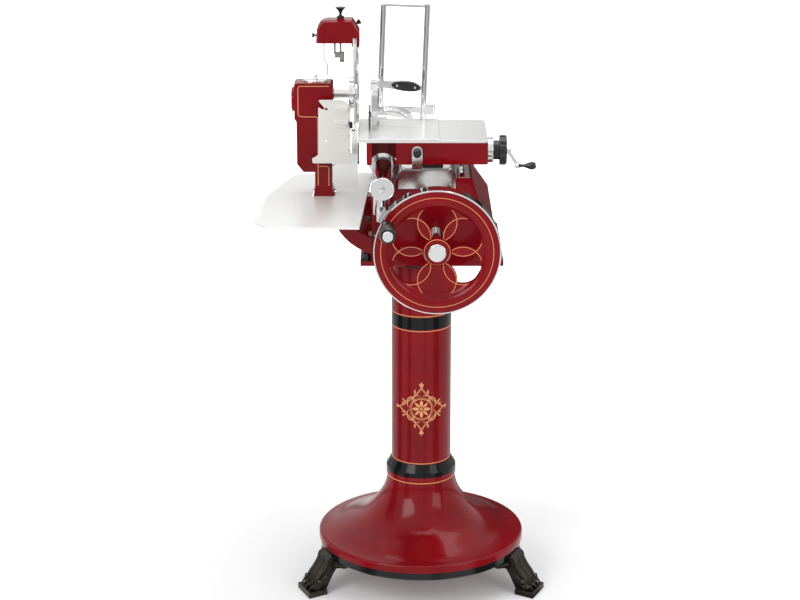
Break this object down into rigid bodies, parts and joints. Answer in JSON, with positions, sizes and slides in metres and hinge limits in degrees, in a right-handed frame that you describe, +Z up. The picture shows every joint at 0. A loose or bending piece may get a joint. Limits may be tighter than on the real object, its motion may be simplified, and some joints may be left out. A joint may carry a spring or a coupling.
{
  "type": "flywheel meat slicer",
  "caption": "Hand cranked flywheel meat slicer with a round blade, sliding carriage, meat press and feed screw on a cast pedestal with paw feet.",
  "frame": {"origin": "on the floor, on the axis of the pedestal's column", "axes": "+Z up along the column, -Y towards the operator and the flywheel, +X towards the feed crank"},
  "size_m": [0.7137, 0.7485, 1.4698],
  "materials": {
    "red_enamel": "deep red gloss enamel over cast iron",
    "dark_bronze": "dark bronzed cast iron",
    "black_enamel": "black gloss enamel",
    "chrome": "polished chrome plate",
    "polished_steel": "polished stainless sheet",
    "drive_steel": "machined and oiled steel",
    "bronze": "turned bearing bronze",
    "black_plastic": "moulded black phenolic",
    "pale_enamel": "off-white enamel",
    "abrasive": "grey vitrified abrasive"
  },
  "bodies": {
    "frame": {"base_ring": "black_enamel", "stand_base": "red_enamel", "stand_collar": "black_enamel", "stand_column": "red_enamel", "stand_top_plate": "black_enamel", "paw_feet": "dark_bronze", "machine_base": "red_enamel", "top_cover": "polished_steel", "shaft_bushes": "bronze", "base_knobs": "black_plastic", "rail_tube": "chrome", "rail_caps": "chrome", "rail_post": "chrome", "side_rail": "chrome", "blade_arm": "red_enamel", "tray": "polished_steel", "drive_housing": "red_enamel", "blade_bushes": "bronze", "housing_lid": "polished_steel", "side_cover": "red_enamel", "guard_ring": "chrome", "deflector_plate": "pale_enamel", "deflector_fittings": "black_plastic", "sharpener_cap": "red_enamel", "sharpener_frame": "chrome", "drive_chain": "drive_steel"},
    "flywheel_unit": {"flywheel": "red_enamel", "flywheel_rim": "chrome", "hub_cap": "chrome", "main_shaft": "chrome", "handle_pin": "chrome", "bevel_gear": "drive_steel"},
    "grip": {"flywheel_grip": "black_plastic"},
    "cross": {"cross_shaft": "drive_steel", "bevel_pinion": "drive_steel"},
    "blade_unit": {"blade": "polished_steel", "blade_shaft": "chrome", "upper_sprocket": "drive_steel"},
    "cap_knob": {"cap_knob": "black_plastic"},
    "honing_knob": {"honing_knob": "black_plastic"},
    "stone": {"push_knob": "black_plastic", "grinding_stone": "abrasive"},
    "carriage": {"carriage_beam": "red_enamel", "carriage_table": "polished_steel", "carriage_bearings": "chrome", "carriage_stop": "black_enamel", "end_collar": "polished_steel", "lock_bracket": "polished_steel"},
    "roller": {"carriage_roller": "drive_steel"},
    "lock_knob": {"lock_knob": "black_plastic"},
    "feed": {"lead_screw": "drive_steel", "feed_crank": "chrome"},
    "crank_grip": {"crank_grip": "black_plastic"},
    "thickness_knob": {"thickness_knob": "black_plastic"},
    "meat_table": {"meat_plate": "polished_steel", "press_rods": "chrome"},
    "press": {"press_crosshead": "chrome", "handle_scales": "black_plastic", "toothed_plate": "polished_steel"},
    "clamp_lever": {"clamp_lever": "chrome"}
  },
  "joints": [
    {"name": "flywheel_spin", "type": "hinge", "parent": "frame", "child": "flywheel_unit", "pos_m": [0.033, 0, 0.955], "axis": [0, 1, 0], "continuous": true},
    {"name": "grip_spin", "type": "hinge", "parent": "flywheel_unit", "child": "grip", "pos_m": [-0.08157, -0.38, 1.01851], "axis": [0, 1, 0], "continuous": true},
    {"name": "cross_spin", "type": "hinge", "parent": "frame", "child": "cross", "pos_m": [-0.2, 0.05, 0.955], "axis": [1, 0, 0], "continuous": true},
    {"name": "blade_spin", "type": "hinge", "parent": "frame", "child": "blade_unit", "pos_m": [-0.163, 0.05, 1.256], "axis": [1, 0, 0], "continuous": true},
    {"name": "cap_knob_turn", "type": "hinge", "parent": "frame", "child": "cap_knob", "pos_m": [-0.1985, 0.05, 1.45], "axis": [0, 0, 1], "range_deg": [0, 180]},
    {"name": "honing_press", "type": "slide", "parent": "frame", "child": "honing_knob", "axis": [-0.8437, 0, -0.5369], "range_m": [0, 0.003], "stiffness_N_per_m": 300, "springref_m": -0.002},
    {"name": "stone_press", "type": "slide", "parent": "frame", "child": "stone", "axis": [1, 0, 0], "range_m": [0, 0.005], "stiffness_N_per_m": 300, "springref_m": -0.002},
    {"name": "carriage_slide", "type": "slide", "parent": "frame", "child": "carriage", "axis": [0, 1, 0], "range_m": [-0.14, 0.13]},
    {"name": "roller_spin", "type": "hinge", "parent": "carriage", "child": "roller", "pos_m": [0.096, 0.04, 1.1103], "axis": [1, 0, 0], "range_deg": [-900, 900]},
    {"name": "lock_pull", "type": "slide", "parent": "carriage", "child": "lock_knob", "axis": [0, 1, 0], "range_m": [0, 0.004], "stiffness_N_per_m": 400, "springref_m": -0.002},
    {"name": "feed_turn", "type": "hinge", "parent": "carriage", "child": "feed", "pos_m": [0, -0.09, 1.146], "axis": [-1, 0, 0], "range_deg": [0, 1350]},
    {"name": "crank_grip_spin", "type": "hinge", "parent": "feed", "child": "crank_grip", "pos_m": [0.25, -0.09, 1.107], "axis": [1, 0, 0], "continuous": true},
    {"name": "thickness_turn", "type": "hinge", "parent": "carriage", "child": "thickness_knob", "pos_m": [0.19, -0.09, 1.146], "axis": [1, 0, 0], "range_deg": [0, 320]},
    {"name": "meat_feed", "type": "slide", "parent": "carriage", "child": "meat_table", "axis": [1, 0, 0], "range_m": [0, 0.075]},
    {"name": "press_slide", "type": "slide", "parent": "meat_table", "child": "press", "axis": [0.0384, 0, 0.9993], "range_m": [0, 0.2]},
    {"name": "lever_swing", "type": "hinge", "parent": "press", "child": "clamp_lever", "pos_m": [-0.097, 0.02, 1.2005], "axis": [1, 0, 0], "range_deg": [0, 50]}
  ],
  "couplings": [
    {"joint": "cross_spin", "follows": "flywheel_spin", "ratio": 3},
    {"joint": "blade_spin", "follows": "flywheel_spin", "ratio": 3},
    {"joint": "roller_spin", "follows": "carriage_slide", "rad_per_m": -83.333},
    {"joint": "feed_turn", "follows": "meat_feed", "rad_per_m": 314.16}
  ]
}
